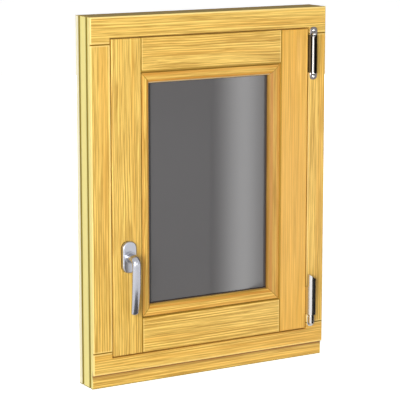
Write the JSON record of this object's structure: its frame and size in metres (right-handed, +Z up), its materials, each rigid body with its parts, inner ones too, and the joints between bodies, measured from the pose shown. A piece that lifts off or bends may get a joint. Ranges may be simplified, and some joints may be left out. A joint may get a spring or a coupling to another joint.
{
  "type": "wooden window",
  "caption": "Single-sash pine window in its frame, with a lever handle, surface hinges, mitred glazing beads and an outside rain rail; the handle turns.",
  "frame": {"origin": "centre of the frame's underside, halfway through its depth", "axes": "+Z up, -Y towards the room, +X to the hinge side as seen from the room"},
  "size_m": [0.575, 0.1238, 0.78],
  "materials": {
    "pine": "clear satin lacquer on straight-grained pine",
    "anodised": "natural anodised",
    "glass": "clear, polished",
    "spacer": "mill finish with grey sealant",
    "seal": "matt dark brown",
    "satin_silver": "satin silver anodised",
    "hinge_steel": "bright zinc plated"
  },
  "bodies": {
    "window": {"bead_bottom": "pine", "bead_left": "pine", "bead_right": "pine", "bead_top": "pine", "edge_spacer": "spacer", "frame_bottom_rail": "pine", "frame_head": "pine", "frame_left_jamb": "pine", "frame_right_jamb": "pine", "handle_rosette": "satin_silver", "inner_glazing_seal": "seal", "inner_pane": "glass", "lower_hinge_cover": "hinge_steel", "lower_hinge_foot": "hinge_steel", "lower_hinge_pin": "hinge_steel", "outer_glazing_seal": "seal", "outer_pane": "glass", "rain_rail": "anodised", "rain_rail_left_cap": "anodised", "rain_rail_right_cap": "anodised", "sash_bottom_rail": "pine", "sash_left_stile": "pine", "sash_right_stile": "pine", "sash_top_rail": "pine", "upper_hinge_pin": "hinge_steel", "upper_hinge_plate": "hinge_steel", "upper_hinge_strap": "hinge_steel", "weather_seal": "seal"},
    "lever": {"handle_lever": "satin_silver"}
  },
  "joints": [
    {"name": "handle", "type": "hinge", "parent": "window", "child": "lever", "pos_m": [-0.2065, -0.052, 0.278], "axis": [0, -1, 0], "range_deg": [0, 180]}
  ]
}
